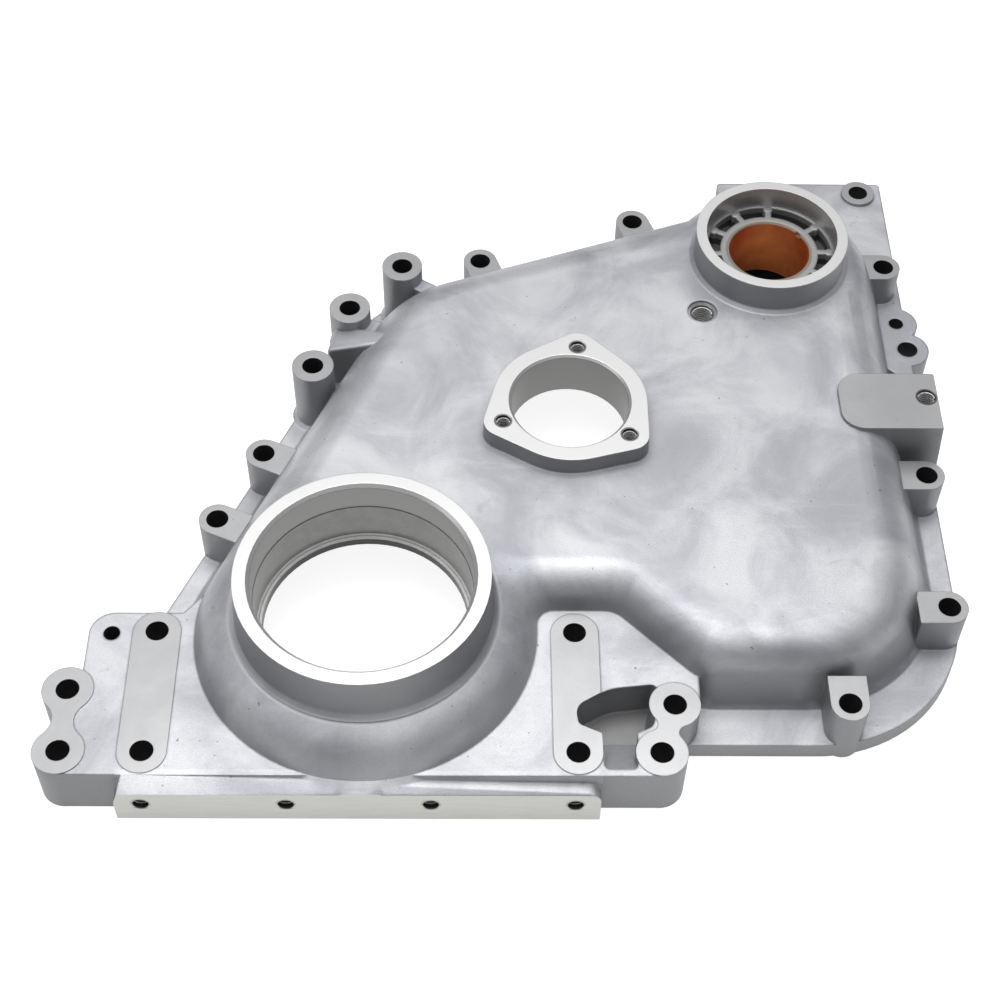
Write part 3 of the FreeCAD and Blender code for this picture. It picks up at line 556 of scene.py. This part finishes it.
def makeRamp(name, ramp):
    length, near, far = ramp["length"], ramp["nearTop"], ramp["farTop"]
    deselectAll()
    bpy.ops.mesh.primitive_cube_add(size=1, location=(0, 0, 0))
    piece = bpy.context.object
    piece.scale = mm(length, ramp["half"] * 2, near - ramp["base"])
    piece.location = mm(length / 2, 0, (near + ramp["base"]) / 2)
    bpy.ops.object.transform_apply(location=True, rotation=True, scale=True)
    bpy.ops.object.mode_set(mode="EDIT")
    bpy.ops.mesh.select_mode(type="VERT")
    bpy.ops.mesh.select_all(action="DESELECT")
    bpy.ops.object.mode_set(mode="OBJECT")
    for vertex in piece.data.vertices:
        vertex.select = vertex.co.x > length / 2000
    bpy.ops.object.mode_set(mode="EDIT")
    bpy.ops.transform.resize(value=(1, ramp["taper"], 1), center_override=(length / 1000, 0, 0))
    bpy.ops.mesh.select_all(action="DESELECT")
    bpy.ops.object.mode_set(mode="OBJECT")
    for vertex in piece.data.vertices:
        vertex.select = vertex.co.x > length / 2000 and vertex.co.z > (near - 1) / 1000
    bpy.ops.object.mode_set(mode="EDIT")
    bpy.ops.transform.translate(value=(0, 0, (far - near) / 1000))
    bpy.ops.mesh.select_all(action="SELECT")
    bpy.ops.mesh.bevel(offset=ramp["half"] * ramp["round"] / 1000, segments=ramp["steps"],
                       affect="EDGES", clamp_overlap=True)
    bpy.ops.mesh.remove_doubles(threshold=mergeReach)
    bpy.ops.mesh.normals_make_consistent(inside=False)
    bpy.ops.object.mode_set(mode="OBJECT")
    piece.rotation_euler = (0, 0, math.radians(ramp["angle"]))
    piece.location = mm(ramp["x"], ramp["y"], 0)
    finishPiece(piece, name, castAluminium)
    bpy.ops.object.shade_smooth_by_angle(angle=math.radians(ramp["smooth"]))


makeRamp("bossRamp", bossRamp)
print("ramp cast")

# Round flared ends of the ribs in the drive ring, mm from its axis and degrees round it
ribEnds = {"radius": 3.2, "low": 57.5, "high": 66.65, "reach": 39.0, "round": 0.8, "sides": 32, "steps": 4,
           "smooth": 40, "angles": (-34, -1, 35, 86, 119, 151, 184, 218, 252, 288)}


# One rounded pad, modelled once and copied round the ring
def makeRibEnds(pad):
    low, high = pad["low"], pad["high"]
    deselectAll()
    bpy.ops.mesh.primitive_cylinder_add(vertices=pad["sides"], radius=pad["radius"] / 1000,
                                        depth=(high - low) / 1000, location=mm(0, 0, (high + low) / 2))
    model = bpy.context.object
    bpy.ops.object.transform_apply(location=True, rotation=True, scale=True)
    bpy.ops.object.mode_set(mode="EDIT")
    bpy.ops.mesh.select_mode(type="FACE")
    bpy.ops.mesh.select_all(action="DESELECT")
    bpy.ops.object.mode_set(mode="OBJECT")
    for face in model.data.polygons:
        face.select = face.center.z > (high - 0.1) / 1000
    bpy.ops.object.mode_set(mode="EDIT")
    bpy.ops.mesh.bevel(offset=pad["round"] / 1000, segments=pad["steps"], affect="EDGES")
    bpy.ops.object.mode_set(mode="OBJECT")
    for k, angle in enumerate(pad["angles"]):
        turn = math.radians(angle)
        spot = (drive["x"] + pad["reach"] * math.cos(turn), drive["y"] + pad["reach"] * math.sin(turn), 0)
        copyPiece(model, f"ribEnd{k + 1}", spot, castAluminium)
        bpy.ops.object.shade_smooth_by_angle(angle=math.radians(pad["smooth"]))
    bpy.data.objects.remove(model)


makeRibEnds(ribEnds)
print("rib ends cast")

# Seal bore in mm: relief step in painted shade, thin retaining rib below it and rim of the lip, the rib and rim
# bright with painted light
sealBore = {"seat": 61.5, "relief": 61.05, "low": 45.0, "ribTop": 46.6, "top": 71.5, "rib": 60.1,
            "gap": 59.6, "rim": 58.3, "ribChamfer": 0.3, "rimSlope": 0.2, "rimHigh": 0.5, "steps": 128, "smooth": 30}


# Ring turned round the crankshaft axis from corners given as radius and height
def turnRing(name, corners, material):
    deselectAll()
    bpy.ops.mesh.primitive_circle_add(vertices=len(corners), radius=0.001, location=(0, 0, 0))
    piece = bpy.context.object
    for vertex, (radius, height) in zip(piece.data.vertices, corners):
        vertex.co = mm(radius, 0, height)
    bpy.ops.object.mode_set(mode="EDIT")
    bpy.ops.mesh.select_all(action="SELECT")
    bpy.ops.mesh.spin(steps=sealBore["steps"], angle=math.radians(360), center=(0, 0, 0), axis=(0, 0, 1))
    bpy.ops.mesh.select_all(action="SELECT")
    bpy.ops.mesh.remove_doubles(threshold=mergeReach)
    bpy.ops.mesh.normals_make_consistent(inside=False)
    bpy.ops.object.mode_set(mode="OBJECT")
    finishPiece(piece, name, material)
    bpy.ops.object.shade_smooth_by_angle(angle=math.radians(sealBore["smooth"]))


def makeSealBore(seal):
    seat, low, ribTop, rib, rim = (seal[key] for key in ("seat", "low", "ribTop", "rib", "rim"))
    rimTop = low + seal["rimHigh"]
    turnRing("sealStep", [(seat, ribTop), (seal["relief"], ribTop), (seal["relief"], seal["top"]),
                          (seat, seal["top"])], boredMetal)
    turnRing("sealRetainer", [(seat, low), (rib, low), (rib, ribTop - seal["ribChamfer"]),
                              (rib + seal["ribChamfer"], ribTop), (seat, ribTop)], threadMetal)
    turnRing("sealLipRim", [(seal["gap"], low), (rim, low), (rim + seal["rimSlope"], rimTop),
                            (seal["gap"], rimTop)], threadMetal)


makeSealBore(sealBore)
print("seal steps turned")

# White table in metres, with a painted shadow patch under the drive bore, seen through it
table = {"size": 12.0, "depth": -0.0004, "glow": 0.86, "rough": 0.9, "colour": (0.45, 0.45, 0.45, 1),
         "patch": (0.251, 0.290, 0.0), "patchRadius": 0.045, "patchColour": (0.01, 0.01, 0.01, 1)}

# Pale air: dim low down and full towards the bright side, white to the camera
air = {"bright": (0.0, 0.10, 0.995), "fade": (0.47, 1.0), "dim": (0.08, 0.08, 0.09, 1), "full": (1.28, 1.28, 1.29, 1)}


def makeTable():
    deselectAll()
    bpy.ops.mesh.primitive_plane_add(size=table["size"], location=(0, 0, table["depth"]))
    floor = bpy.context.object
    floor.name = "whiteTable"
    material = bpy.data.materials.new("tableWhite")
    material.use_nodes = True
    w = Wires(material.node_tree)
    shader = material.node_tree.nodes["Principled BSDF"]
    shader.inputs["Roughness"].default_value = table["rough"]
    shader.inputs["Emission Color"].default_value = (1, 1, 1, 1)
    rays = w.put("ShaderNodeLightPath").outputs
    seen = w.either(w.either(rays["Is Camera Ray"], rays["Is Glossy Ray"]), rays["Is Transmission Ray"])
    # painted shadow: a dark disc without glow under the drive bore
    fromPatch = w.vector("DISTANCE", w.put("ShaderNodeTexCoord").outputs["Object"], table["patch"])
    clear = w.above(fromPatch, table["patchRadius"])
    w.feed(shader.inputs["Base Color"], w.mixColour(clear, table["patchColour"], table["colour"]))
    w.feed(shader.inputs["Emission Strength"], w.math("MULTIPLY", w.both(seen, clear), table["glow"]))
    floor.data.materials.append(material)


def makeAir():
    world = bpy.data.worlds.new("paleAir")
    world.use_nodes = True
    scene.world = world
    w = Wires(world.node_tree)
    sky = world.node_tree.nodes["Background"]
    towards = w.vector("DOT_PRODUCT", w.put("ShaderNodeTexCoord").outputs["Generated"], air["bright"])
    colour = w.mixColour(w.span(towards, *air["fade"]), air["dim"], air["full"])
    seen = w.put("ShaderNodeLightPath").outputs["Is Camera Ray"]
    w.feed(sky.inputs["Color"], w.mixColour(seen, colour, (1, 1, 1, 1)))


# Soft boxes in metres and watts
lamps = {
    "skyBox": {"place": (-0.05, 0.28, 1.75), "aim": (0.05, 0.00, 0.0), "width": 1.2, "height": 0.8, "watts": 12.5},
    "leftBox": {"place": (-1.45, -0.15, 0.90), "aim": (0.05, 0.10, 0.0), "width": 0.9, "height": 0.9, "watts": 2.0},
}


def makeLamps():
    for name, box in lamps.items():
        bpy.ops.object.light_add(type="AREA", location=box["place"])
        lamp = bpy.context.object
        lamp.name = name
        lamp.data.shape = "RECTANGLE"
        lamp.data.size, lamp.data.size_y, lamp.data.energy = box["width"], box["height"], box["watts"]
        lamp.rotation_euler = (Vector(box["aim"]) - Vector(box["place"])).to_track_quat("-Z", "Y").to_euler()


# Camera at the photograph's angle: metres, degrees, millimetres
cameraView = {"place": (0.06250, -0.59432, 0.91889), "turn": (37.952, -0.740, -0.206),
              "lens": 67.225, "sensor": 36, "clip": (0.01, 50)}


def makeCamera():
    turn = [math.radians(a) for a in cameraView["turn"]]
    bpy.ops.object.camera_add(location=cameraView["place"], rotation=turn)
    camera = bpy.context.object
    camera.data.lens = cameraView["lens"]
    camera.data.sensor_width = cameraView["sensor"]
    camera.data.sensor_fit = "HORIZONTAL"
    camera.data.clip_start, camera.data.clip_end = cameraView["clip"]
    scene.camera = camera


makeTable()
makeAir()
makeLamps()
makeCamera()
print("stage, lamps and camera set")
